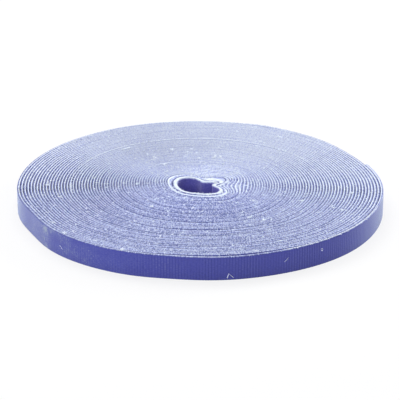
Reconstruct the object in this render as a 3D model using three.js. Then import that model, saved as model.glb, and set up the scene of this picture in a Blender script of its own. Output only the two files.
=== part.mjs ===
// A flat roll of back-to-back hook and loop tape, wound on itself without a core.
// The tape is one strip of two bonded plies: hooks face out of the roll and loops face in.
// Millimetres, +Z up. The roll lies flat, with the origin on the winding axis at the lower tape edges.
// Places along the tape are given in turns, counted from its inner end.
import * as THREE from "three";

// Tape sizes
const TAPE_WIDTH = 16;
const HOOK_PLY = 0.5; // ground weave and hooks
const PLY_SEAM = 0.3; // bond line between the two plies
const LOOP_PLY_AT_EYE = 0.3; // loop pile squeezed by all the turns around it
const LOOP_PLY_AT_RIM = 0.77; // loop pile wound loosely
const FREE_PILE = 2; // pile that stands free into the eye on the first turn
const LOOSE_PLY = 0.6; // added to the loop ply where nothing squeezes it
const TURN_GAP = 0.58; // from one turn's hooks to the next turn's loops
const CUT_GAP = 0.3; // between stretches of tape that meet end to end

// Winding, in whole loops for each stretch
const EYE_RADIUS = 13.5;
const INNER_LOOPS = 7;
const MIDDLE_LOOPS = 24;
const OUTER_LOOPS = 22;
const INNER_END_ANGLE = 22;
const OUTER_END_ANGLE = 18;

// Kinks that the winding spindle left in the eye, pressed into turn after turn until they fade
const EYE_KINKS = [
  { angle: -6, rise: -7, spread: 19 },
  { angle: 76, rise: -7.5, spread: 29 },
];
const KINK_TURNS = 11;
const KINK_SLACK = 1.2; // the kinked turns lie a little loose in each other
const FIRST_SLACK = 1.9; // the first turn lies loose in the second
const FIRST_SLACK_START = 0.98;
const FIRST_SLACK_TURNS = 0.08;
const END_SAG = 6.2; // the inner end leans into the eye
const END_SAG_PLACE = 0.055;
const END_SAG_TURNS = 0.06;
const FREE_PILE_TURNS = 0.96; // tape whose pile faces the eye
const FREE_PILE_FADE = 0.04;

// Lobes of the eye, which all turns share less and less towards the rim
const EYE_LOBES = [
  { angle: 36, rise: 2.6, spread: 18 },
  { angle: 142, rise: 4.8, spread: 30 },
  { angle: 308, rise: 4.2, spread: 26 },
];
const FIRST_LOBES = 0.55; // share of the lobes at the inner end, which doesn't fill them
const LOBES_GROW_START = 0.45;
const LOBES_GROW_TURNS = 0.8;

// Flats and swellings of the rim: the roll was handled and is no true circle
const RIM_LUMPS = [
  { angle: 27, rise: -3, spread: 20 },
  { angle: 115, rise: 1.4, spread: 40 },
  { angle: 204, rise: -2.6, spread: 12 },
  { angle: 262, rise: -1.6, spread: 11 },
  { angle: 278, rise: -1.3, spread: 17 },
  { angle: 318, rise: 1.4, spread: 22 },
];

// The last turn stands off the roll in front
const LAST_TURN_LIFT = [{ angle: 278, rise: 1.3, spread: 17 }];
const LIFT_TURNS = 0.1; // tape over which the last turn comes free

// Free end, peeled off in short stiff lengths
const TAIL_SEGMENTS = 4;
const TAIL_SEGMENT_LENGTH = 16;

// Steps along the tape
const ROUND_STEPS = 16; // steps in a turn
const CUT_STEP = 5; // step of a turn at which two stretches meet
const KINK_FIRST_STEP = -2; // steps of a turn between which the kinks lie
const KINK_LAST_STEP = 4;
const KINK_SUBSTEPS = 3; // steps at the kinks for one elsewhere
const RIM_SUBSTEPS = 2; // steps near the rim for one elsewhere
const RIM_ROUND_TURNS = 3.3; // tape over which the turns become round towards the rim

// Colours and roughness
const HOOK_LOOK = { color: 0x4e519b, roughness: 0.75 };
const LOOP_LOOK = { color: 0xd6dcf4, roughness: 0.95 };
const TURNS_LOOK = { color: 0xa9b1dc, roughness: 0.9 };

// Values worked out from the sizes
const FULL_CIRCLE = THREE.MathUtils.radToDeg(2 * Math.PI);
const STEP_ANGLE = FULL_CIRCLE / ROUND_STEPS;
const CUT_ANGLE = CUT_STEP * STEP_ANGLE;
const INNER_START = 1 + (CUT_ANGLE - INNER_END_ANGLE) / FULL_CIRCLE;
const MIDDLE_START = INNER_START + INNER_LOOPS;
const OUTER_START = MIDDLE_START + MIDDLE_LOOPS;
const TAPE_END = OUTER_START + OUTER_LOOPS + 1 + (OUTER_END_ANGLE - CUT_ANGLE) / FULL_CIRCLE;
const RIM_START = TAPE_END - 1;
const PITCH_AT_EYE = LOOP_PLY_AT_EYE + PLY_SEAM + HOOK_PLY + TURN_GAP;
const PITCH_AT_RIM = LOOP_PLY_AT_RIM + PLY_SEAM + HOOK_PLY + TURN_GAP;

const angleAt = (turn) => INNER_END_ANGLE + FULL_CIRCLE * turn;
const turnAtStep = (step) => (step * STEP_ANGLE - INNER_END_ANGLE) / FULL_CIRCLE;

// An angle as seen from another, from minus half a circle to half a circle.
function angleFrom(angle, centre) {
  const half = FULL_CIRCLE / 2;
  return THREE.MathUtils.euclideanModulo(angle - centre + half, FULL_CIRCLE) - half;
}

const bell = (x) => Math.exp(-(x ** 2));

// How far a list of lumps lifts the tape at an angle.
function riseOf(lumps, angle) {
  let sum = 0;
  for (const lump of lumps) {
    sum += lump.rise * bell(angleFrom(angle, lump.angle) / lump.spread);
  }
  return sum;
}

// From none to all, smoothly, over some turns.
const openedOver = (turn, start, turns) => THREE.MathUtils.smoothstep(turn, start, start + turns);

// Radius of a plain spiral whose spacing grows evenly from the eye to the rim.
function spiralRadius(turn) {
  const growth = (PITCH_AT_RIM - PITCH_AT_EYE) / TAPE_END;
  return EYE_RADIUS + FREE_PILE + PITCH_AT_EYE * turn + (growth * turn ** 2) / 2;
}

// Shares of the kinks, of the eye's lobes and of the rim's lumps that a turn takes.
function kinksTaken(turn) {
  return (1 + Math.cos(Math.PI * Math.min(turn / KINK_TURNS, 1))) / 2;
}

function lobesTaken(turn) {
  const grown = openedOver(turn, LOBES_GROW_START, LOBES_GROW_TURNS);
  return THREE.MathUtils.lerp(FIRST_LOBES, 1, grown) * (1 - turn / TAPE_END);
}

function lumpsTaken(turn) {
  return (spiralRadius(turn) / spiralRadius(TAPE_END)) ** 2;
}

// How far the kinks, lobes, lumps and the last turn's lift move a turn together.
function unevenness(turn) {
  const angle = angleAt(turn);
  const kinks = kinksTaken(turn) * riseOf(EYE_KINKS, angle);
  const lobes = lobesTaken(turn) * riseOf(EYE_LOBES, angle);
  const lumps = lumpsTaken(turn) * riseOf(RIM_LUMPS, angle);
  const lift = openedOver(turn, RIM_START, LIFT_TURNS) * riseOf(LAST_TURN_LIFT, angle);
  return kinks + lobes + lumps + lift;
}

// How far the kinked turns have settled into the even ones.
const settled = (turn) => openedOver(turn, INNER_START, INNER_LOOPS);

// Radius of the loop face, as wound, at a place on the tape.
function loopFace(turn) {
  const firstSlack = FIRST_SLACK * openedOver(turn, FIRST_SLACK_START, FIRST_SLACK_TURNS);
  const sag = END_SAG * bell((turn - END_SAG_PLACE) / END_SAG_TURNS);
  return spiralRadius(turn) + unevenness(turn) + firstSlack + KINK_SLACK * settled(turn) - sag;
}

// Radius of the loop face where the first turn's pile stands free in the eye.
function freeLoopFace(turn) {
  return loopFace(turn) - FREE_PILE * (1 - openedOver(turn, FREE_PILE_TURNS, FREE_PILE_FADE));
}

function loopPlyThickness(turn) {
  const loose = LOOSE_PLY * (1 - openedOver(turn, FIRST_SLACK_START, FIRST_SLACK_TURNS));
  return THREE.MathUtils.lerp(LOOP_PLY_AT_EYE, LOOP_PLY_AT_RIM, turn / TAPE_END) + loose;
}

const loopBack = (turn) => loopFace(turn) + loopPlyThickness(turn);
const hookBack = (turn) => loopBack(turn) + PLY_SEAM;
const hookFace = (turn) => hookBack(turn) + HOOK_PLY;

// Radius of a face where it runs straight from one step of a turn to the next.
function straightRadius(face, turn) {
  const step = Math.floor(angleAt(turn) / STEP_ANGLE);
  const start = face(turnAtStep(step));
  const end = face(turnAtStep(step + 1));
  const whole = THREE.MathUtils.degToRad(STEP_ANGLE);
  const past = THREE.MathUtils.degToRad(angleAt(turn)) - step * whole;
  return (start * end * Math.sin(whole)) / (start * Math.sin(past) + end * Math.sin(whole - past));
}

// Turns run straight from step to step in the thick of the roll, and round off towards the eye and the rim.
function wound(face) {
  return (turn) => {
    const toRim = THREE.MathUtils.clamp(1 - (RIM_START - turn) / RIM_ROUND_TURNS, 0, 1);
    const roundness = 1 - settled(turn) + toRim;
    return THREE.MathUtils.lerp(straightRadius(face, turn), face(turn), roundness);
  };
}

const woundLoopFace = wound(loopFace);
const woundHookFace = wound(hookFace);

// A length along the tape, in turns.
const lengthInTurns = (length, turn) => length / (2 * Math.PI * hookFace(turn));

// Places from one turn to another: both ends, and every step that a turn has between them.
function places(from, to, substepsAt) {
  const found = [from];
  const least = lengthInTurns(CUT_GAP, to);
  for (let step = Math.floor(angleAt(from) / STEP_ANGLE); step * STEP_ANGLE < angleAt(to); step++) {
    const substeps = substepsAt(step);
    for (let part = 0; part < substeps; part++) {
      const turn = turnAtStep(step + part / substeps);
      if (turn > from + least && turn < to - least) found.push(turn);
    }
  }
  return [...found, to];
}

const evenSubsteps = () => 1;

function rimSubsteps(step) {
  return turnAtStep(step) < RIM_START - RIM_ROUND_TURNS ? 1 : RIM_SUBSTEPS;
}

function kinkSubsteps(step) {
  const angle = angleFrom(step * STEP_ANGLE, 0);
  const kinked = angle >= KINK_FIRST_STEP * STEP_ANGLE && angle < KINK_LAST_STEP * STEP_ANGLE;
  return kinked ? KINK_SUBSTEPS : 1;
}

function pointAt(turn, radius, height) {
  const angle = THREE.MathUtils.degToRad(angleAt(turn));
  return new THREE.Vector3(radius * Math.cos(angle), radius * Math.sin(angle), height);
}

// A closed ribbon as wide as the tape, through the given places, between two faces.
function ribbonGeometry(turns, innerFace, outerFace) {
  const corners = [];
  for (const turn of turns) {
    corners.push(pointAt(turn, innerFace(turn), 0), pointAt(turn, outerFace(turn), 0));
    corners.push(pointAt(turn, outerFace(turn), TAPE_WIDTH), pointAt(turn, innerFace(turn), TAPE_WIDTH));
  }
  const triangles = [0, 1, 2, 0, 2, 3];
  for (let row = 0; row + 4 < corners.length; row += 4) {
    for (let side = 0; side < 4; side++) {
      const a = row + side;
      const b = row + ((side + 1) % 4);
      triangles.push(a, a + 4, b + 4, a, b + 4, b);
    }
  }
  const last = corners.length - 4;
  triangles.push(last, last + 2, last + 1, last, last + 3, last + 2);
  const geometry = new THREE.BufferGeometry().setFromPoints(corners);
  geometry.setIndex(triangles);
  geometry.computeVertexNormals();
  return geometry;
}

function mesh(name, geometry, look) {
  const material = new THREE.MeshStandardMaterial({ ...look, metalness: 0 });
  const made = new THREE.Mesh(geometry, material);
  made.name = name;
  return made;
}

// Turns in the thick of the roll, with the two plies bonded into one strip.
function boundTurns(name, turns) {
  return mesh(name, ribbonGeometry(turns, woundLoopFace, woundHookFace), TURNS_LOOK);
}

// The two plies of a stretch that shows its faces.
function plies(name, turns, loopFront) {
  return [
    mesh(`${name}_loop_ply`, ribbonGeometry(turns, loopFront, loopBack), LOOP_LOOK),
    mesh(`${name}_hook_ply`, ribbonGeometry(turns, hookBack, hookFace), HOOK_LOOK),
  ];
}

// Least distance from the hook face of any turn to the loop face of the next, on points.
function leastTurnGap(stretches) {
  const nextTurnFrom = 0.5;
  const nextTurnTo = 1.5;
  const line = new THREE.Line3();
  const nearest = new THREE.Vector3();
  let least = Infinity;
  for (const outward of stretches.flat()) {
    const point = pointAt(outward, woundHookFace(outward), 0);
    for (const turns of stretches) {
      for (let i = 0; i + 1 < turns.length; i++) {
        const onward = turns[i] - outward;
        if (onward < nextTurnFrom || onward > nextTurnTo) continue;
        line.start.copy(pointAt(turns[i], woundLoopFace(turns[i]), 0));
        line.end.copy(pointAt(turns[i + 1], woundLoopFace(turns[i + 1]), 0));
        line.closestPointToPoint(point, true, nearest);
        least = Math.min(least, nearest.distanceTo(point));
      }
    }
  }
  return least;
}

const tailTurns = lengthInTurns(TAIL_SEGMENT_LENGTH, TAPE_END);
const tailStart = TAPE_END - TAIL_SEGMENTS * tailTurns;

// One stretch of tape, short of its neighbours by half a cut gap at each end.
function stretch(from, to, substepsAt) {
  const half = CUT_GAP / 2;
  return places(from + lengthInTurns(half, from), to - lengthInTurns(half, to), substepsAt);
}

const firstTurn = stretch(0, INNER_START, kinkSubsteps);
const innerTurns = stretch(INNER_START, MIDDLE_START, kinkSubsteps);
const middleTurns = stretch(MIDDLE_START, OUTER_START, evenSubsteps);
const outerTurns = stretch(OUTER_START, RIM_START, rimSubsteps);
const lastTurn = stretch(RIM_START, tailStart, rimSubsteps);

const roll = new THREE.Group();
roll.add(...plies("core_wrap", firstTurn, freeLoopFace));
roll.add(boundTurns("inner_turns", innerTurns));
roll.add(boundTurns("middle_turns", middleTurns));
roll.add(boundTurns("outer_turns", outerTurns));
roll.add(...plies("outer_wrap", lastTurn, loopFace));

// Each length of the tail turns on the one before it, at the hook face, about a line across the tape.
function addTail(parent) {
  const hinges = [];
  let carrier = parent;
  let carrierHinge = new THREE.Vector3();
  for (let n = 0; n < TAIL_SEGMENTS; n++) {
    const from = tailStart + n * tailTurns;
    const hinge = pointAt(from, hookFace(from), 0);
    const segment = new THREE.Group();
    segment.position.copy(hinge).sub(carrierHinge);
    const turns = stretch(from, from + tailTurns, rimSubsteps);
    const pieces = plies(`tail_${n + 1}`, turns, loopFace);
    pieces.forEach((piece) => piece.geometry.translate(-hinge.x, -hinge.y, 0));
    segment.add(...pieces);
    carrier.add(segment);
    carrier = segment;
    carrierHinge = hinge;
    hinges.push(hinge);
  }
  return hinges;
}

roll.userData.tailHinges = addTail(roll);

const windings = { innerTurns, middleTurns, outerTurns };
for (const [name, turns] of Object.entries(windings)) {
  console.log(`${name}: least gap between its turns ${leastTurnGap([turns]).toFixed(2)} mm`);
}
const wholeTape = [firstTurn, innerTurns, middleTurns, outerTurns, lastTurn];
console.log(`whole roll: least gap between turns ${leastTurnGap(wholeTape).toFixed(2)} mm`);

export default roll;
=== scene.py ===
"""The looks of a flat coreless roll of hook and loop tape, on a plain pale floor."""
import math

import bpy
import numpy as np
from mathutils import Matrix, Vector


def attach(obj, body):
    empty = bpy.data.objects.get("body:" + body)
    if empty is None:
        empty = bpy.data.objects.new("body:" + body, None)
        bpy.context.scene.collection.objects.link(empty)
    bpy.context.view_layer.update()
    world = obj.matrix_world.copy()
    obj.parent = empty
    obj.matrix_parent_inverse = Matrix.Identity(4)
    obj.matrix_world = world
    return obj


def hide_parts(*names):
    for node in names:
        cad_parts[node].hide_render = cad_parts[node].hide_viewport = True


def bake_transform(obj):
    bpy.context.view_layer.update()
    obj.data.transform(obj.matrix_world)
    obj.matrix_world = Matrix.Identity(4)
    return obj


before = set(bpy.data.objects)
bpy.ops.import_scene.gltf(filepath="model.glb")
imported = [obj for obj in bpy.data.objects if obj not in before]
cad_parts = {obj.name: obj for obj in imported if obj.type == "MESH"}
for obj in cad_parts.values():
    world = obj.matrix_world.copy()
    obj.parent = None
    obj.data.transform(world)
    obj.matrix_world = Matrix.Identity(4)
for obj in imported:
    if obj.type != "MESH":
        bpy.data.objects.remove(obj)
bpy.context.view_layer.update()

MM = 0.001

# The tape and its winding, in millimetres, degrees and turns, the same as in the solids
TAPE_WIDTH = 16.0
HOOK_PLY = 0.5
PLY_SEAM = 0.3
LOOP_PLY_AT_EYE = 0.3
LOOP_PLY_AT_RIM = 0.77
FREE_PILE = 2.0
LOOSE_PLY = 0.6
TURN_GAP = 0.58
EYE_RADIUS = 13.5
INNER_LOOPS = 7
MIDDLE_LOOPS = 24
OUTER_LOOPS = 22
ALL_LOOPS = INNER_LOOPS + MIDDLE_LOOPS + OUTER_LOOPS
INNER_END_ANGLE = 22.0
OUTER_END_ANGLE = 18.0
CUT_ANGLE = 112.5
TAIL_SEGMENTS = 4
TAIL_SEGMENT_LENGTH = 16.0

# Forms of the eye and the rim as (angle, rise, spread), and the turns over which they fade or grow
EYE_KINKS = [(-6, -7, 19), (76, -7.5, 29)]
KINK_TURNS = 11
EYE_LOBES = [(36, 2.6, 18), (142, 4.8, 30), (308, 4.2, 26)]
FIRST_LOBES = 0.55
LOBES_GROW_START = 0.45
LOBES_GROW_TURNS = 0.8
RIM_LUMPS = [
    (27, -3, 20),
    (115, 1.4, 40),
    (204, -2.6, 12),
    (262, -1.6, 11),
    (278, -1.3, 17),
    (318, 1.4, 22),
]
LAST_TURN_LIFT = [(278, 1.3, 17)]
LIFT_TURNS = 0.1

# Slack next to the eye, the sag of the inner end, and the first turn, whose pile is free
KINK_SLACK = 1.2
FIRST_SLACK = 1.9
FIRST_SLACK_START = 0.98
FIRST_SLACK_TURNS = 0.08
END_SAG = 6.2
END_SAG_PLACE = 0.055
END_SAG_TURNS = 0.06
FREE_PILE_TURNS = 0.96
FREE_PILE_FADE = 0.04

# Places along the tape, in turns from its inner end, their pitch, and steps for measuring lengths
INNER_START = 1 + (CUT_ANGLE - INNER_END_ANGLE) / 360
TAPE_END = INNER_START + ALL_LOOPS + 1 + (OUTER_END_ANGLE - CUT_ANGLE) / 360
RIM_START = TAPE_END - 1
FIRST_TURN_END = FREE_PILE_TURNS + FREE_PILE_FADE
HAIRPIN_END = 1.18
SECOND_TURN_END = FIRST_TURN_END + 1
PITCH_AT_EYE = LOOP_PLY_AT_EYE + PLY_SEAM + HOOK_PLY + TURN_GAP
PITCH_AT_RIM = LOOP_PLY_AT_RIM + PLY_SEAM + HOOK_PLY + TURN_GAP
LENGTH_STEPS = 20000

# Cut edges: their domes, and the rise of the loop ply, of which a share is lost in front
EDGE_DOME = 0.32
EDGE_ROWS = 4
LOOP_EDGE_RISE = 0.24
LOOP_RISE_LOST = 0.25
SEAM_COVER = 0.1

# Grooves between turns, wider on the left and at the back, and how far the pile reaches into the roll
GROOVE_TURNS = [1.7, 2.1, 12, 28]
GROOVES = [0.4, 0.24, 0.24, 0.43]
GROOVE_LEFT = 0.3
GROOVE_BACK = 0.18
THIN_PILE = [(250, -1.2, 70)]
PILE_REACH_TURNS = [HAIRPIN_END, 1.3, 1.42, 1.9, 2.3, 12, 14, RIM_START - 0.1, RIM_START]
PILE_REACH = [9.0, 4.0, 2.8, 2.8, 1.8, 1.8, 1.0, 1.0, 0.2]

# Turns that stand proud or lie low, and a loop ply that stands proud: (turn, rise, spread in turns)
UNEVEN_EDGES = [(1.5, -0.4, 0.55), (27, -0.22, 4.5), (54.13, 0.3, 0.012), (54.71, -0.35, 0.05)]
PROUD_LOOPS = [(37.25, 0.15, 0.26)]

# Random unevenness of the edges: a slow one, more in front and less towards the rim, and a quick one
SLOW_STEP = 0.37
SLOW_SPREAD = 0.12
SLOW_IN_FRONT = 0.6
SLOW_FADE_TURNS = [30, 42]
SLOW_FADE = [1.0, 0.5]
QUICK_STEP = 0.03
QUICK_SPREAD = 0.05

# Steps along the tape, and rows of faces across it
FINE_STEP = 0.475
FIRST_TURN_STEP = 0.7
COARSE_STEP = 4.0
STEP_DEGREES = 4.0
FINE_ROWS = 24
FIRST_TURN_ROWS = 12
COARSE_ROWS = 1

# Relief of the faces, which fades towards the edges: rows of hooks outside and free pile inside
RELIEF_POWER = 6
RIB_PITCH = 1.9
RIB_HEIGHT = 0.05
HOOK_TIPS = 0.35
PILE_ROUGHNESS = 0.12

# Shares through a ply beyond which a point lies on its outer or inner face
OUTER_FACE = 0.99
INNER_FACE = 0.01

# Threads: rings as (share of the length, share of the thickness), and what their sides are turned by
THREAD_SIDES = 3
THREAD_RINGS = [(0.0, 1.0), (0.35, 1.0), (0.7, 0.8), (1.0, 0.35)]
THREAD_POINTS = THREAD_SIDES * len(THREAD_RINGS)
THREAD_ASIDE = np.array([0.36, 0.48, 0.8])

# Fibres: their lean, curl, droop, length and share through the ply, and how upright they stand or lie
FIBRE_LEAN_OUT = 0.6
FIBRE_LEAN_ALONG = 0.9
FIBRE_CURL = 0.55
FIBRE_DROOP = 0.35
FIBRE_SIZES = (0.5, 1.3)
FIBRE_DEPTH = 0.2
STANDING = (0.4, 1.0)
LYING = (0.1, 0.4)

# Fibres along the edges, rooted in them; those below are fewer and shorter
EDGE_FIBRE_DEPTHS = (0.05, 0.7)
ROOT_DEPTH = 0.1
LOWER_ROOT = 0.55
LOWER_SHARE = 0.25
LOWER_LENGTH = 0.35
HOOK_FIBRES = {"spacing": 6.0, "length": 0.7, "thickness": 0.05}
FIRST_TURN_FIBRES = {"spacing": 1.4, "length": 1.2, "thickness": 0.075}
WINDING_FIBRES = {"spacing": 1.7, "length": 1.2, "thickness": 0.075}
TAIL_FIBRES = {"spacing": 1.5, "length": 1.2, "thickness": 0.075}
BEADS = {"spacing": 1.7, "length": 0.9, "thickness": 0.24}

# Lint on the upper edges: clumps that crowd towards the eye, tufts at (angle, radius), frayed turns
LINT_CLUMPS = 360
LINT_CROWDING = 1.5
LINT_END = RIM_START - 0.15
LINT_FLATNESS = 0.3
LINT_HEIGHTS = (0.05, 0.2)
FINE_LINT = {"fibres": 6, "spread": 0.3, "length": 0.9, "thickness": 0.3}
TUFT_LINT = {"fibres": 12, "spread": 0.5, "length": 1.3, "thickness": 0.45}
FRAYED_LINT = {"fibres": 2, "spread": 0.12, "length": 0.9, "thickness": 0.3}
FRAYED_TURNS = np.linspace(37.03, 37.46, 170)
FRAYED_RIM = np.linspace(54.76, 54.886, 105)
LINT_TUFTS = [
    (215, 118), (224, 124), (246, 125), (181, 104), (194, 96), (181, 42), (124, 45), (122, 61),
    (107, 69), (126, 85), (129, 85), (58, 108), (49, 85), (78, 53), (74, 52), (90, 49),
    (351, 104), (334, 106), (300, 67), (304, 77), (336, 76), (232, 51),
]

# Threads on the outer wall in front as (angle, height, rise, run, length, thickness), and their curl
WALL_LINT = [
    (-64.4, 8.3, 0.6, 1, 3.9, 0.22),
    (-51.3, 9.4, 1, 0.8, 1.2, 0.22),
    (-51.3, 9.4, 1, -0.8, 1.2, 0.22),
    (-51.3, 11.4, -1, 0.8, 1.2, 0.22),
    (-51.3, 11.4, -1, -0.8, 1.2, 0.22),
    (-81.9, 1.5, 3, 1.4, 3.0, 0.34),
    (-80.0, 1.5, 2.6, -3, 3.6, 0.18),
    (-137.0, 7.4, -0.5, 1, 2.6, 0.2),
    (-136.4, 6.2, -0.6, 1, 2.0, 0.2),
]
WALL_CURL_BACK = 0.1
WALL_CURL_UP = 0.15

# Materials of a ply, by their number on its mesh
FACE, EDGE, FUZZ = 0, 1, 2

# Colours by value
HOOK_COLOURS = [
    (0.25, (0.03, 0.036, 0.235)),
    (0.55, (0.045, 0.053, 0.34)),
    (0.8, (0.08, 0.095, 0.37)),
    (1.0, (0.3, 0.36, 0.42)),
]
LOOP_COLOURS = [(0.3, (0.08, 0.075, 0.35)), (0.7, (0.165, 0.16, 0.53)), (0.95, (0.63, 0.70, 0.93))]
HOOK_FUZZ_COLOURS = [(0.3, (0.55, 0.59, 0.85)), (0.7, (0.85, 0.88, 0.98))]
LOOP_FUZZ_COLOURS = [(0.3, (0.81, 0.89, 1.0)), (0.7, (0.91, 0.95, 1.0))]
SHEEN_TINT = (0.73, 0.81, 1.0, 1)
HOOK_SHEEN_TINT = (0.62, 0.8, 1.0, 1)

# Turns where the outer face is worn, where the edges soften, and where the outer end is frayed
WORN_TURNS = [54.4, 54.54, 54.7]
SOFT_TURNS = [10, 30]
END_FRAY_TURNS = [54.84, 54.9]

# Lengths of tape, in millimetres, over which the look of an edge changes from turn to turn
FIRST_TURN_FADE = 1
HAIRPIN_FADE = 5
SECOND_TURN_FADE = 10

# Shares through a ply over which its edge takes on the look of its back, and over which the second
# turn's painted shade ends
TO_BACK = (0.5, 0.68)
TO_SHADED_FRONT = (0.64, 0.54)

# Pale bands of the loop face: from how far off the edge, and where they are palest
BAND_START = 1.7
BAND_PALEST = 0.7

# Cut edges: their colours, and by how much each pattern or place on the tape makes them paler or darker
EDGE_VALUES = (-0.03, 1.07)
HOOK_EDGE = {
    "colours": [(0.35, (0.035, 0.042, 0.23)), (0.6, (0.108, 0.124, 0.41)), (0.85, (0.5, 0.55, 0.86))],
    "sheen": 0.3,
    "dash_share": 0.55,
    "speck_share": 0.5,
    "back_shade": 0.14,
    "first_turn_lift": 0.0,
    "second_turn_painted_shade": 0.0,
    "near_eye_lift": 0.16,
    "end_lift": 0.4,
}
LOOP_EDGE = {
    "colours": [(0.1, (0.13, 0.152, 0.49)), (0.4, (0.515, 0.59, 0.92)), (0.6, (0.85, 0.92, 1.0))],
    "sheen": 0.4,
    "dash_share": 0.9,
    "speck_share": 0.8,
    "back_shade": 0.36,
    "first_turn_lift": 0.36,
    # painted shade that the first turn casts on the front of the second turn's edge; its back is made
    # as much paler
    "second_turn_painted_shade": 0.32,
    "near_eye_lift": -0.1,
    "end_lift": 0.0,
}

# Floor, light and camera, in metres; lights as (name, place, size, power)
FLOOR_SIZE = 8
FLOOR_COLOUR = (0.9, 0.9, 0.92, 1)
FLOOR_ROUGHNESS = 0.9
FLOOR_GLOW = 1.0
FLOOR_GLOW_SHARE = 0.8
SKY_COLOUR = (1, 1, 1, 1)
SKY_STRENGTH = 0.42
LIGHT_AIM = (0, 0, 0.008)
LIGHTS = [
    ("top", (-0.25, 0.7, 1.15), (1.2, 0.8), 13.0),
    ("front", (-0.1, -1.6, 0.6), (1.4, 0.5), 7),
    ("left", (-1.15, -0.3, 0.3), (0.5, 0.8), 4.7),
    ("right", (1.05, 0.7, 0.4), (0.5, 0.8), 11),
]

# The camera: its distance in radii of the roll, its elevation in degrees, its aim in pixels
RIM_RADIUS = 0.1241
RIM_PIXELS = 181.2
PICTURE_PIXELS = 400
PIXEL = RIM_RADIUS / RIM_PIXELS
CAMERA_DISTANCE = 13.0
CAMERA_ELEVATION = 22.25
AIM_RIGHT = 0.4
AIM_UP = 6.2

SEED = 3882
rng = np.random.default_rng(SEED)
SLOW_TURNS = np.arange(0, TAPE_END + 1, SLOW_STEP)
SLOW_LEVELS = rng.normal(0, SLOW_SPREAD, len(SLOW_TURNS))
QUICK_TURNS = np.arange(0, TAPE_END + 1, QUICK_STEP)
QUICK_LEVELS = rng.normal(0, QUICK_SPREAD, len(QUICK_TURNS))


# The winding


def opened_over(turn, start, turns):
    """From none to all, smoothly, over some turns."""
    share = np.clip((turn - start) / turns, 0, 1)
    return share * share * (3 - 2 * share)


def bell(x):
    return np.exp(-(x**2))


def angle_at(turn):
    return INNER_END_ANGLE + 360 * turn


def rise_at_angle(lumps, angle):
    """How far a list of (angle, rise, spread) lifts the tape at an angle."""
    total = 0.0
    for centre, rise, spread in lumps:
        away = (angle - centre + 180) % 360 - 180
        total = total + rise * bell(away / spread)
    return total


def rise_at_turn(levels, turn):
    """How far a list of (turn, rise, spread) lifts the tape's edge at a turn."""
    return sum(rise * bell((turn - centre) / spread) for centre, rise, spread in levels)


def spiral_radius(turn):
    growth = (PITCH_AT_RIM - PITCH_AT_EYE) / TAPE_END
    return EYE_RADIUS + FREE_PILE + PITCH_AT_EYE * turn + growth * turn**2 / 2


def unevenness(turn):
    """How far kinks and lobes of the eye, lumps of the rim and the last turn's lift move a turn."""
    angle = angle_at(turn)
    kinks = (1 + np.cos(np.pi * np.minimum(turn / KINK_TURNS, 1))) / 2
    grown = opened_over(turn, LOBES_GROW_START, LOBES_GROW_TURNS)
    lobes = (FIRST_LOBES + (1 - FIRST_LOBES) * grown) * (1 - turn / TAPE_END)
    lumps = (spiral_radius(turn) / spiral_radius(TAPE_END)) ** 2
    rise = kinks * rise_at_angle(EYE_KINKS, angle) + lobes * rise_at_angle(EYE_LOBES, angle)
    lift = opened_over(turn, RIM_START, LIFT_TURNS) * rise_at_angle(LAST_TURN_LIFT, angle)
    return rise + lumps * rise_at_angle(RIM_LUMPS, angle) + lift


def loop_face(turn):
    first_slack = FIRST_SLACK * opened_over(turn, FIRST_SLACK_START, FIRST_SLACK_TURNS)
    kink_slack = KINK_SLACK * opened_over(turn, INNER_START, INNER_LOOPS)
    sag = END_SAG * bell((turn - END_SAG_PLACE) / END_SAG_TURNS)
    return spiral_radius(turn) + unevenness(turn) + first_slack + kink_slack - sag


def loop_back(turn):
    share = turn / TAPE_END
    loose = LOOSE_PLY * (1 - opened_over(turn, FIRST_SLACK_START, FIRST_SLACK_TURNS))
    return loop_face(turn) + LOOP_PLY_AT_EYE * (1 - share) + LOOP_PLY_AT_RIM * share + loose


def hook_back(turn):
    return loop_back(turn) + PLY_SEAM


def hook_face(turn):
    return hook_back(turn) + HOOK_PLY


def loop_front(turn):
    """The loop face with its pile: free in the eye, then reaching towards the turn inside it."""
    angle = np.radians(angle_at(turn))
    widened = 1 - GROOVE_LEFT * np.cos(angle) + GROOVE_BACK * np.sin(angle)
    groove = np.interp(turn, GROOVE_TURNS, GROOVES) * widened
    reach = np.interp(turn, PILE_REACH_TURNS, PILE_REACH)
    met = np.maximum(hook_face(np.maximum(turn - 1, 0)) + groove, loop_face(turn) - reach)
    pressed = np.minimum(loop_face(turn), met)
    free = loop_face(turn) - FREE_PILE - rise_at_angle(THIN_PILE, angle_at(turn))
    covered = opened_over(turn, FREE_PILE_TURNS, FREE_PILE_FADE)
    return free * (1 - covered) + pressed * covered


def loop_rear(turn):
    """The back of the loop ply, which swells over the seam from the second turn on."""
    return loop_back(turn) + SEAM_COVER * opened_over(turn, FIRST_SLACK_START, FIRST_SLACK_TURNS)


def loop_rise(turn):
    """How far the loop ply's edge stands above that of the hook ply, less in front."""
    near = np.minimum(np.sin(np.radians(angle_at(turn))), 0)
    return LOOP_EDGE_RISE * (1 + LOOP_RISE_LOST * near) + rise_at_turn(PROUD_LOOPS, turn)


def no_rise(turn):
    return np.zeros_like(turn)


def edge_level(turn):
    """How far a turn stands proud of its neighbours or lies below them."""
    in_front = 1 - SLOW_IN_FRONT * np.sin(np.radians(angle_at(turn)))
    slow = np.interp(turn, SLOW_TURNS, SLOW_LEVELS) * in_front
    slow = slow * np.interp(turn, SLOW_FADE_TURNS, SLOW_FADE)
    quick = np.interp(turn, QUICK_TURNS, QUICK_LEVELS)
    return rise_at_turn(UNEVEN_EDGES, turn) + slow + quick


def lengths_up_to(turns):
    """Lengths of tape, in millimetres, from its inner end to each of many close turns."""
    radius = loop_back(turns)
    steps = np.diff(turns) * 2 * np.pi * (radius[1:] + radius[:-1]) / 2
    return np.concatenate([[0], np.cumsum(steps)])


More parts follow.
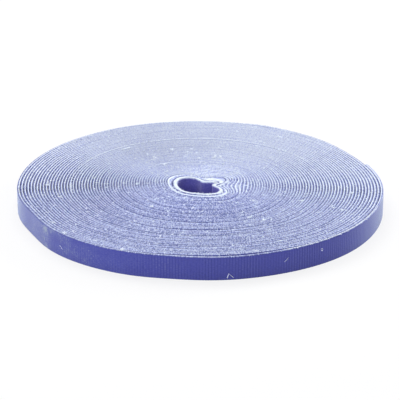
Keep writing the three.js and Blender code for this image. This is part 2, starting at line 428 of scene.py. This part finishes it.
LENGTH_TURNS = np.linspace(0, TAPE_END, LENGTH_STEPS + 1)
LENGTHS = lengths_up_to(LENGTH_TURNS)


def tape_length(turn):
    """The length of tape, in millimetres, from its inner end to a turn."""
    return np.interp(turn, LENGTH_TURNS, LENGTHS)


def turn_after(length):
    """The turn at a length of tape, in millimetres, from its inner end."""
    return np.interp(length, LENGTHS, LENGTH_TURNS)


def turn_at(angle, radius):
    """The turn whose loop ply passes nearest to a place on the top of the roll."""
    turns = np.arange(math.ceil(TAPE_END)) + (angle - INNER_END_ANGLE) / 360
    return turns[np.argmin(np.abs(loop_front(turns) - radius))]


def places(start, end, step):
    """Turns from start to end, about a step apart along the tape, closer where the winding is tight."""
    found = [start]
    while found[-1] < end:
        radius = float(hook_face(found[-1]))
        length = min(step, radius * math.radians(STEP_DEGREES))
        found.append(found[-1] + length / (2 * math.pi * radius))
    stretch = (end - start) / (found[-1] - start)
    return start + (np.array(found) - start) * stretch


def on_tape(turn, radius, height):
    """Points in metres, from places in turns and millimetres."""
    angle = np.radians(angle_at(turn))
    return np.stack([radius * np.cos(angle), radius * np.sin(angle), height], axis=-1) * MM


# Plies, fibres and lint


class Strip:
    """One ply between two places, as points, places on the tape, faces and materials."""

    def __init__(self):
        self.points = []
        self.tape = []
        self.faces = []
        self.materials = []
        self.count = 0

    def add(self, points, tape, faces, material_numbers):
        """Adds points and the faces between them, which count from the first of these points."""
        self.points.append(points)
        self.tape.append(tape)
        self.faces += (faces + self.count).tolist()
        self.materials += material_numbers
        self.count += len(points)

    def add_caps(self, first, caps, material_number):
        """Adds faces that close the ends of a form, counted from its first point."""
        self.faces += [[first + corner for corner in cap] for cap in caps]
        self.materials += [material_number] * len(caps)


def ply_section(face_rows):
    """A ply's section: depth shares and heights round it, and the material of each side."""
    arc = np.linspace(0, np.pi, EDGE_ROWS + 1)
    rows = np.linspace(EDGE_DOME, TAPE_WIDTH - EDGE_DOME, face_rows + 1)[1:-1]
    outwards = 0.5 - 0.5 * np.cos(arc)
    inwards = 0.5 + 0.5 * np.cos(arc)
    depth = [outwards, np.ones_like(rows), inwards, np.zeros_like(rows)]
    low = EDGE_DOME - EDGE_DOME * np.sin(arc)
    high = TAPE_WIDTH - EDGE_DOME + EDGE_DOME * np.sin(arc)
    height = [low, rows, high, rows[::-1]]
    sides = [EDGE] * EDGE_ROWS + [FACE] * face_rows + [EDGE] * EDGE_ROWS + [FACE] * face_rows
    return np.concatenate(depth), np.concatenate(height), sides


def add_ply(strip, turns, inner, outer, lift, face_rows, relief=None):
    """Adds the closed band of a ply to a strip. relief lifts the points of the two faces."""
    depth, height, sides = ply_section(face_rows)
    steps, around = len(turns), len(depth)
    turn = np.repeat(turns, around)
    share = np.tile(depth, steps)
    level = np.tile(height, steps)
    along = tape_length(turn)
    radius = inner(turn) + share * (outer(turn) - inner(turn))
    if relief is not None:
        middle = 1 - np.abs(2 * level / TAPE_WIDTH - 1) ** RELIEF_POWER
        radius = radius + relief(along, level, share) * middle
    upper = np.where(level > TAPE_WIDTH / 2, 1, 0)
    points = on_tape(turn, radius, level + (lift(turn) + edge_level(turn)) * upper)
    ring = np.arange(around)
    following = (ring + 1) % around
    base = np.arange(steps - 1)[:, None] * around
    corners = [base + ring, base + ring + around, base + following + around, base + following]
    quads = np.stack(corners, axis=-1).reshape(-1, 4)
    first = strip.count
    strip.add(points, np.stack([along, level, share], axis=-1), quads, sides * (steps - 1))
    last_ring = ring[::-1] + (steps - 1) * around
    strip.add_caps(first, [ring.tolist(), last_ring.tolist()], EDGE)


def hook_relief(along, level, share):
    """Rows of hooks across the outer face, each row half a pitch aside of the one before."""
    rows = np.cos(2 * np.pi * along / RIB_PITCH)
    aside = 0.5 * np.floor(along / RIB_PITCH + 0.5)
    tips = HOOK_TIPS * np.cos(2 * np.pi * (level / RIB_PITCH + aside))
    return np.where(share > OUTER_FACE, RIB_HEIGHT * (rows + tips * np.maximum(rows, 0)), 0)


def pile_relief(along, level, share):
    """Tufts of free pile on the inner face."""
    return np.where(share < INNER_FACE, rng.normal(0, PILE_ROUGHNESS, len(along)), 0)


def thread_quads():
    """The faces along one thread, counted from its first point."""
    quads = []
    for ring in range(len(THREAD_RINGS) - 1):
        for corner in range(THREAD_SIDES):
            here = ring * THREAD_SIDES + corner
            following = ring * THREAD_SIDES + (corner + 1) % THREAD_SIDES
            quads.append([here, following, following + THREAD_SIDES, here + THREAD_SIDES])
    return np.array(quads)


def add_threads(strip, roots, headings, curls, sizes, thickness, tape, flatness=1.0):
    """Adds closed curved threads: each leaves its root along its heading and bends by its curl."""
    side = np.cross(headings, THREAD_ASIDE)
    side /= np.linalg.norm(side, axis=1, keepdims=True)
    other = np.cross(headings, side)
    corners = []
    for step, width in THREAD_RINGS:
        centre = roots + (headings * step + curls * step**2) * sizes[:, None]
        for corner in range(THREAD_SIDES):
            turned = 2 * math.pi * corner / THREAD_SIDES
            reach = side * math.cos(turned) + other * math.sin(turned)
            corners.append(centre + reach * np.array([1, 1, flatness]) * thickness * MM * width)
    points = np.stack(corners, axis=1).reshape(-1, 3)
    starts = np.arange(len(roots)) * THREAD_POINTS
    quads = (thread_quads() + starts[:, None, None]).reshape(-1, 4)
    first = strip.count
    strip.add(points, np.repeat(tape, THREAD_POINTS, axis=0), quads, [FUZZ] * len(quads))
    root_cap = list(range(THREAD_SIDES))[::-1]
    tip_cap = list(range(THREAD_POINTS - THREAD_SIDES, THREAD_POINTS))
    for start in starts.tolist():
        strip.add_caps(first + start, [root_cap, tip_cap], FUZZ)


def add_fibres(strip, turns, radii, heights, length, thickness, upward, upright, flatness=1.0):
    """Adds short fibres that stand or lie on the tape at the given places."""
    count = len(turns)
    angle = np.radians(angle_at(turns))
    flat = np.zeros(count)
    out = np.stack([np.cos(angle), np.sin(angle), flat], axis=-1)
    along = np.stack([-np.sin(angle), np.cos(angle), flat], axis=-1)
    up = np.array([0.0, 0.0, upward])
    lean = rng.normal(0, FIBRE_LEAN_OUT, (count, 1)) * out
    lean = lean + rng.normal(0, FIBRE_LEAN_ALONG, (count, 1)) * along
    headings = up * rng.uniform(*upright, (count, 1)) + lean
    headings /= np.linalg.norm(headings, axis=1, keepdims=True)
    bend = rng.normal(0, FIBRE_CURL, (count, 1)) * out
    bend = bend + rng.normal(0, FIBRE_CURL, (count, 1)) * along
    curls = bend - FIBRE_DROOP * upright[1] * up
    sizes = rng.uniform(*FIBRE_SIZES, count) * length * MM
    roots = on_tape(turns, radii, heights)
    tape = np.stack([tape_length(turns), heights, flat + FIBRE_DEPTH], axis=-1)
    add_threads(strip, roots, headings, curls, sizes, thickness, tape, flatness)


def edge_fibres(strip, start, end, front, back, lift, spacing, length, thickness):
    """Adds fibres along both edges of a ply, fewer and shorter below, where the roll lies."""
    first, last = tape_length(start), tape_length(end)
    for upward, share, reach in ((1.0, 1.0, 1.0), (-1.0, LOWER_SHARE, LOWER_LENGTH)):
        count = int((last - first) / spacing * share)
        turns = turn_after(rng.uniform(first, last, count))
        depth = rng.uniform(*EDGE_FIBRE_DEPTHS, count)
        radii = front(turns) + depth * (back(turns) - front(turns))
        top = TAPE_WIDTH + lift(turns) + edge_level(turns) - ROOT_DEPTH
        heights = top if upward > 0 else np.full(count, LOWER_ROOT)
        add_fibres(strip, turns, radii, heights, reach * length, thickness, upward, STANDING)


def add_lint(strip, turns, fibres, spread, length, thickness, side=loop_front):
    """Adds clumps of white lint that lie across the upper edges at the given turns."""
    lengths = np.repeat(tape_length(turns), fibres)
    lengths = lengths + rng.normal(0, spread, len(lengths))
    placed = turn_after(lengths)
    radii = side(placed) + rng.normal(0, spread, len(placed))
    heights = TAPE_WIDTH + loop_rise(placed) + edge_level(placed)
    heights = heights + rng.uniform(*LINT_HEIGHTS, len(placed))
    add_fibres(strip, placed, radii, heights, length, thickness, 1.0, LYING, LINT_FLATNESS)


def add_upper_lint(strip):
    """Adds all lint on top of the roll: scattered clumps, tufts and two frayed stretches."""
    first, last = tape_length(FIRST_TURN_END), tape_length(LINT_END)
    scattered = first + (last - first) * rng.uniform(0, 1, LINT_CLUMPS) ** LINT_CROWDING
    add_lint(strip, turn_after(scattered), **FINE_LINT)
    tufts = np.array([turn_at(angle, radius) for angle, radius in LINT_TUFTS])
    add_lint(strip, tufts, **TUFT_LINT)
    add_lint(strip, FRAYED_TURNS, **FRAYED_LINT)
    add_lint(strip, FRAYED_RIM, **FRAYED_LINT, side=hook_back)


def add_wall_lint(strip):
    """Adds the few white threads that cling to the outer wall in front."""
    for angle, height, rise, run, length, thickness in WALL_LINT:
        turn = np.array([math.ceil(TAPE_END) + (angle - INNER_END_ANGLE) / 360])
        turned = math.radians(angle)
        heading = np.array([[-math.sin(turned) * run, math.cos(turned) * run, rise]])
        heading /= np.linalg.norm(heading)
        back = WALL_CURL_BACK * np.array([math.sin(turned), -math.cos(turned)])
        curl = np.array([[*back, WALL_CURL_UP]])
        root = on_tape(turn, hook_face(turn) + RIB_HEIGHT, np.array([height]))
        tape = np.array([[0.0, height, FIBRE_DEPTH]])
        add_threads(strip, root, heading, curl, np.array([length * MM]), thickness, tape)


# Materials


def lengths_at(turns):
    """Lengths of tape, in millimetres, from its inner end to each of a few turns."""
    return [float(tape_length(turn)) for turn in turns]


class Look:
    """A material in the making, with nodes for its values."""

    def __init__(self, name):
        self.material = bpy.data.materials.new(name)
        self.material.use_nodes = True
        self.nodes = self.material.node_tree.nodes
        self.links = self.material.node_tree.links
        self.shader = self.nodes["Principled BSDF"]

    def finish(self, values):
        """Sets what is the same all over, on the shader's own sockets."""
        for socket, value in values.items():
            self.shader.inputs[socket].default_value = value

    def calculated(self, operation, *values):
        """The result of an operation on numbers or sockets."""
        node = self.nodes.new("ShaderNodeMath")
        node.operation = operation
        for socket, value in zip(node.inputs, values):
            if isinstance(value, float):
                socket.default_value = value
            else:
                self.links.new(value, socket)
        return node.outputs[0]

    def product(self, value, other):
        return self.calculated("MULTIPLY", value, other)

    def added(self, value, other, share):
        """A value with a share of another added to it."""
        return self.calculated("MULTIPLY_ADD", other, share, value)

    def ranged(self, value, low, high):
        """A value as a share of the way from low to high."""
        node = self.nodes.new("ShaderNodeMapRange")
        node.inputs["From Min"].default_value = low
        node.inputs["From Max"].default_value = high
        self.links.new(value, node.inputs["Value"])
        return node.outputs["Result"]

    def opposite(self, share):
        return self.ranged(share, 1, 0)

    def colour(self, value, stops):
        """Colours the surface by a value, with a list of (value, colour)."""
        mixed = self.nodes.new("ShaderNodeValToRGB")
        elements = mixed.color_ramp.elements
        while len(elements) < len(stops):
            elements.new(0.5)
        for element, (position, colour) in zip(elements, stops):
            element.position = position
            element.color = (*colour, 1)
        self.links.new(value, mixed.inputs["Fac"])
        self.links.new(mixed.outputs["Color"], self.shader.inputs["Base Color"])

    def bump(self, height, distance, strength):
        node = self.nodes.new("ShaderNodeBump")
        node.inputs["Distance"].default_value = distance * MM
        node.inputs["Strength"].default_value = strength
        self.links.new(height, node.inputs["Height"])
        self.links.new(node.outputs["Normal"], self.shader.inputs["Normal"])


class TapeLook(Look):
    """The look of tape. Places run along and across it in millimetres, and through it as a share."""

    def __init__(self, name):
        super().__init__(name)
        attribute = self.nodes.new("ShaderNodeAttribute")
        attribute.attribute_name = "tape"
        self.place = attribute.outputs["Vector"]

    def parts(self):
        """The places along, across and through the tape."""
        node = self.nodes.new("ShaderNodeSeparateXYZ")
        self.links.new(self.place, node.inputs["Vector"])
        return [node.outputs[axis] for axis in "XYZ"]

    def noise(self, scale, detail, roughness=0.55):
        mapping = self.nodes.new("ShaderNodeMapping")
        mapping.inputs["Scale"].default_value = scale
        self.links.new(self.place, mapping.inputs["Vector"])
        texture = self.nodes.new("ShaderNodeTexNoise")
        texture.inputs["Scale"].default_value = 1.0
        texture.inputs["Detail"].default_value = detail
        texture.inputs["Roughness"].default_value = roughness
        self.links.new(mapping.outputs["Vector"], texture.inputs["Vector"])
        return texture.outputs["Fac"]


def hook_material():
    """The woven hook face: blue-violet, with fine crossed yarns, painted shade between rows of hooks
    and one worn place.
    """
    look = TapeLook("hook_face")
    along, _, _ = look.parts()
    yarns = look.noise(scale=(0.55, 3.2, 1.0), detail=4.0, roughness=0.6)
    start, middle, end = lengths_at(WORN_TURNS)
    worn = look.product(look.ranged(along, start, middle), look.ranged(along, end, middle))
    blotches = look.noise(scale=(0.07, 0.1, 0.0), detail=2.0, roughness=0.5)
    scuffs = look.product(worn, look.ranged(blotches, low=0.1, high=0.8))
    # Painted shade and light of the rows of hooks: stripes along the tape at the rib pitch, in patches,
    # none where worn
    rows = look.calculated("COSINE", look.product(along, 2 * math.pi / RIB_PITCH))
    row_shade_patches = look.ranged(look.noise(scale=(0.06, 0.03, 0.0), detail=2.0), low=0.35, high=0.65)
    row_shade_patches = look.product(row_shade_patches, look.opposite(worn))
    value = look.added(yarns, scuffs, share=0.46)
    value = look.added(value, look.product(rows, row_shade_patches), share=0.16)
    look.colour(value, HOOK_COLOURS)
    look.finish({
        "Roughness": 0.85,
        "Specular IOR Level": 0.0,
        "Coat Weight": 0.8,
        "Coat Roughness": 0.08,
        "Sheen Weight": 0.7,
        "Sheen Roughness": 0.35,
        "Sheen Tint": HOOK_SHEEN_TINT,
    })
    look.bump(look.noise(scale=(2.4, 5.0, 1.0), detail=2.0), distance=0.12, strength=0.7)
    return look.material


def loop_material():
    """The brushed loop face, lighter than the hook face, with a pale band along each edge."""
    look = TapeLook("loop_face")
    _, across, _ = look.parts()
    tufts = look.noise(scale=(0.9, 0.9, 1.0), detail=5.0, roughness=0.65)
    upper = look.ranged(across, TAPE_WIDTH - BAND_START, TAPE_WIDTH - BAND_PALEST)
    lower = look.ranged(across, BAND_START, BAND_PALEST)
    value = look.added(tufts, upper, share=0.45)
    value = look.added(value, lower, share=0.45)
    look.colour(value, LOOP_COLOURS)
    look.finish({
        "Roughness": 0.95,
        "Specular IOR Level": 0.15,
        "Sheen Weight": 0.4,
        "Sheen Roughness": 0.5,
    })
    look.bump(look.noise(scale=(2.2, 2.2, 2.2), detail=4.0, roughness=0.7), distance=0.3, strength=0.8)
    return look.material


def edge_grain(look, dash_share, speck_share):
    """Dashes, tufts and specks of a cut edge, on patches that change slowly along the tape."""
    patches = look.ranged(look.noise(scale=(0.022, 0.0, 0.0), detail=2.0), low=-0.6, high=1.6)
    dashes = look.noise(scale=(1.4, 0.0, 0.5), detail=0.0)
    tufts = look.noise(scale=(0.9, 1.6, 4.0), detail=4.0, roughness=0.75)
    specks = look.ranged(look.noise(scale=(1.3, 0.7, 1.2), detail=0.0), low=0.6, high=0.72)
    value = look.added(patches, dashes, dash_share)
    value = look.added(value, tufts, share=0.25)
    return look.added(value, specks, speck_share)


def in_second_turn(look, along):
    """How far a place belongs to the second turn, after the hairpin."""
    hairpin, second = lengths_at([HAIRPIN_END, SECOND_TURN_END])
    after_hairpin = look.ranged(along, hairpin - HAIRPIN_FADE, hairpin + HAIRPIN_FADE)
    before_end = look.ranged(along, second + SECOND_TURN_FADE, second)
    return look.product(after_hairpin, before_end)


def in_soft_turns(look, along):
    """How far a place belongs to the soft turns, which come after the second one and fade slowly."""
    second, fade_start, fade_end = lengths_at([SECOND_TURN_END, *SOFT_TURNS])
    after_second = look.ranged(along, second, second + SECOND_TURN_FADE)
    return look.product(after_second, look.ranged(along, fade_end, fade_start))


def edge_material(
    name,
    colours,
    sheen,
    dash_share,
    speck_share,
    back_shade,
    first_turn_lift,
    second_turn_painted_shade,
    near_eye_lift,
    end_lift,
):
    """The cut edge of a ply: pale broken fibre ends, more of the body colour towards its back."""
    look = TapeLook(name)
    along, _, through = look.parts()
    value = edge_grain(look, dash_share, speck_share)
    value = look.added(value, look.ranged(through, *TO_BACK), -back_shade)
    first = float(tape_length(FIRST_TURN_END))
    in_first = look.ranged(along, first + FIRST_TURN_FADE, first)
    value = look.added(value, in_first, first_turn_lift)
    in_second = in_second_turn(look, along)
    # Second turn: its front is darkened as painted shade of the first turn, and its back made paler,
    # into a white line
    front = look.ranged(through, *TO_SHADED_FRONT)
    value = look.added(value, look.product(in_second, front), -second_turn_painted_shade)
    line = look.product(in_second, look.opposite(front))
    value = look.added(value, line, second_turn_painted_shade + back_shade)
    value = look.added(value, in_soft_turns(look, along), near_eye_lift)
    value = look.added(value, look.ranged(along, *lengths_at(END_FRAY_TURNS)), end_lift)
    lowest, highest = EDGE_VALUES
    dash_mean = dash_share / 2
    look.colour(look.ranged(value, dash_mean + lowest, dash_mean + highest), colours)
    look.finish({
        "Roughness": 0.95,
        "Specular IOR Level": 0.15,
        "Sheen Weight": sheen,
        "Sheen Roughness": 0.5,
        "Sheen Tint": SHEEN_TINT,
    })
    look.bump(look.noise(scale=(2.6, 2.6, 6.0), detail=3.0, roughness=0.7), distance=0.25, strength=0.8)
    return look.material


def fuzz_material(name, colours):
    """Loose fibres and lint."""
    look = TapeLook(name)
    look.colour(look.noise(scale=(0.8, 0.8, 0.8), detail=2.0), colours)
    look.finish({
        "Roughness": 0.9,
        "Specular IOR Level": 0.2,
        "Sheen Weight": 1.0,
        "Sheen Roughness": 0.5,
        "Sheen Tint": SHEEN_TINT,
    })
    return look.material


# Pieces of tape


def make_piece(name, strip, materials):
    """Makes a piece of a strip, with its places on the tape kept for the materials."""
    mesh = bpy.data.meshes.new(name)
    mesh.from_pydata(np.concatenate(strip.points).tolist(), [], strip.faces)
    for material in materials:
        mesh.materials.append(material)
    numbers = np.array(strip.materials, dtype=np.int32)
    mesh.polygons.foreach_set("material_index", numbers)
    mesh.polygons.foreach_set("use_smooth", numbers != FUZZ)
    kept = mesh.attributes.new("tape", "FLOAT_VECTOR", "POINT")
    kept.data.foreach_set("vector", np.concatenate(strip.tape).astype(np.float32).ravel())
    mesh.update()
    piece = bpy.data.objects.new(name, mesh)
    bpy.context.scene.collection.objects.link(piece)
    return piece


def hook_strip(start, end, step, face_rows, relief=None):
    strip = Strip()
    add_ply(strip, places(start, end, step), hook_back, hook_face, no_rise, face_rows, relief)
    edge_fibres(strip, start, end, hook_back, hook_face, no_rise, **HOOK_FIBRES)
    return strip


def loop_strip(start, end, step, face_rows, fibres, relief=None):
    strip = Strip()
    add_ply(strip, places(start, end, step), loop_front, loop_rear, loop_rise, face_rows, relief)
    edge_fibres(strip, start, end, loop_front, loop_rear, loop_rise, **fibres)
    return strip


def first_turn_strip():
    """The loop ply of the first turn, with free pile."""
    end = FIRST_TURN_END
    return loop_strip(0, end, FIRST_TURN_STEP, FIRST_TURN_ROWS, FIRST_TURN_FIBRES, pile_relief)


def tail_place(number):
    """The turn at which a hinge of the tail lies, from 0; halves lie between hinges."""
    tail_turn = TAIL_SEGMENT_LENGTH / (2 * math.pi * float(hook_face(TAPE_END)))
    return TAPE_END - (TAIL_SEGMENTS - number) * tail_turn


STILL_END = tail_place(-0.5)
SKINS = {
    "hook": [
        hook_material(),
        edge_material("hook_edge", **HOOK_EDGE),
        fuzz_material("hook_fuzz", HOOK_FUZZ_COLOURS),
    ],
    "loop": [
        loop_material(),
        edge_material("loop_edge", **LOOP_EDGE),
        fuzz_material("loop_fuzz", LOOP_FUZZ_COLOURS),
    ],
}


def wound_pieces():
    """The tape that stays wound: the first turn, the thick of the roll and the last turn."""
    strips = {
        "loop_first_turn": first_turn_strip(),
        "loop_winding": loop_strip(FIRST_TURN_END, STILL_END, COARSE_STEP, COARSE_ROWS, WINDING_FIBRES),
        "hook_winding": hook_strip(0, RIM_START, COARSE_STEP, COARSE_ROWS),
        "hook_last_turn": hook_strip(RIM_START, STILL_END, FINE_STEP, FINE_ROWS, hook_relief),
    }
    beaded = strips["loop_first_turn"]
    edge_fibres(beaded, 0, FIRST_TURN_END, loop_front, loop_face, loop_rise, **BEADS)
    add_upper_lint(strips["loop_winding"])
    add_wall_lint(strips["hook_last_turn"])
    made = {}
    for name, strip in strips.items():
        ply = name.split("_")[0]
        made[name] = make_piece(name, strip, SKINS[ply])
    for piece in made.values():
        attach(piece, "roll")
    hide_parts("core_wrap_loop_ply")
    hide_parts("outer_wrap_loop_ply", "inner_turns", "middle_turns", "outer_turns")
    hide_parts("core_wrap_hook_ply", "inner_turns", "middle_turns", "outer_turns")
    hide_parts("outer_wrap_hook_ply")
    return made


def tail_pieces():
    """The free end: each piece lies across one hinge, and the tip rides on the last length."""
    bodies = ["roll"] + [f"tail_{n + 1}" for n in range(TAIL_SEGMENTS)]
    made = {"hook": [], "loop": []}
    for number in range(TAIL_SEGMENTS + 1):
        tip = number == TAIL_SEGMENTS
        start, end = tail_place(number - 0.5), min(tail_place(number + 0.5), TAPE_END)
        strips = {
            "hook": hook_strip(start, end, FINE_STEP, FINE_ROWS, hook_relief),
            "loop": loop_strip(start, end, FINE_STEP, FINE_ROWS, TAIL_FIBRES),
        }
        for ply, strip in strips.items():
            name = f"{ply}_tip" if tip else f"{ply}_bend_{number + 1}"
            piece = make_piece(name, strip, SKINS[ply])
            if tip:
                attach(piece, bodies[-1])
            else:
                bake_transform(piece)
                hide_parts(f"tail_{number + 1}_{ply}_ply")
            made[ply].append(piece)
    return made


wound = wound_pieces()
tail = tail_pieces()


# Floor, light and camera


def make_floor():
    """A pale floor that shows mostly its own white, and the rest by the light on it."""
    bpy.ops.mesh.primitive_plane_add(size=FLOOR_SIZE, location=(0, 0, 0))
    floor = bpy.context.object
    floor.name = "floor"
    look = Look("floor")
    look.finish({"Base Color": FLOOR_COLOUR, "Roughness": FLOOR_ROUGHNESS})
    glow = look.nodes.new("ShaderNodeEmission")
    glow.inputs["Strength"].default_value = FLOOR_GLOW
    rays = look.nodes.new("ShaderNodeLightPath").outputs
    seen = look.calculated("MAXIMUM", rays["Is Camera Ray"], rays["Is Glossy Ray"])
    seen = look.calculated("MAXIMUM", seen, rays["Is Transmission Ray"])
    mix = look.nodes.new("ShaderNodeMixShader")
    look.links.new(look.product(seen, FLOOR_GLOW_SHARE), mix.inputs["Fac"])
    look.links.new(look.shader.outputs["BSDF"], mix.inputs[1])
    look.links.new(glow.outputs["Emission"], mix.inputs[2])
    look.links.new(mix.outputs["Shader"], look.nodes["Material Output"].inputs["Surface"])
    floor.data.materials.append(look.material)


def make_world():
    world = bpy.data.worlds.new("studio")
    bpy.context.scene.world = world
    world.use_nodes = True
    sky = world.node_tree.nodes["Background"]
    sky.inputs["Color"].default_value = SKY_COLOUR
    sky.inputs["Strength"].default_value = SKY_STRENGTH


def add_light(name, place, size, power):
    lamp = bpy.data.lights.new(name, "AREA")
    lamp.shape = "RECTANGLE"
    lamp.size, lamp.size_y = size
    lamp.energy = power
    light = bpy.data.objects.new(name, lamp)
    bpy.context.scene.collection.objects.link(light)
    light.location = place
    light.rotation_euler = (Vector(LIGHT_AIM) - Vector(place)).to_track_quat("-Z", "Y").to_euler()


def make_camera():
    """A long lens at the photograph's angle; the aim is a little above the origin, as there."""
    elevation = math.radians(CAMERA_ELEVATION)
    up = Vector((0, math.sin(elevation), math.cos(elevation)))
    aim = Vector((AIM_RIGHT, 0, 0)) * PIXEL + up * AIM_UP * PIXEL
    camera = bpy.data.cameras.new("camera")
    camera.lens = camera.sensor_width * RIM_PIXELS * CAMERA_DISTANCE / PICTURE_PIXELS
    view = bpy.data.objects.new("camera", camera)
    bpy.context.scene.collection.objects.link(view)
    towards_eye = Vector((0, -math.cos(elevation), math.sin(elevation)))
    eye = towards_eye * (CAMERA_DISTANCE * RIM_RADIUS)
    view.location = eye + aim
    view.rotation_euler = (-eye).to_track_quat("-Z", "Y").to_euler()
    bpy.context.scene.camera = view


make_floor()
make_world()
for name, place, size, power in LIGHTS:
    add_light(name, place, size, power)
make_camera()
bpy.context.scene.view_settings.view_transform = "Standard"
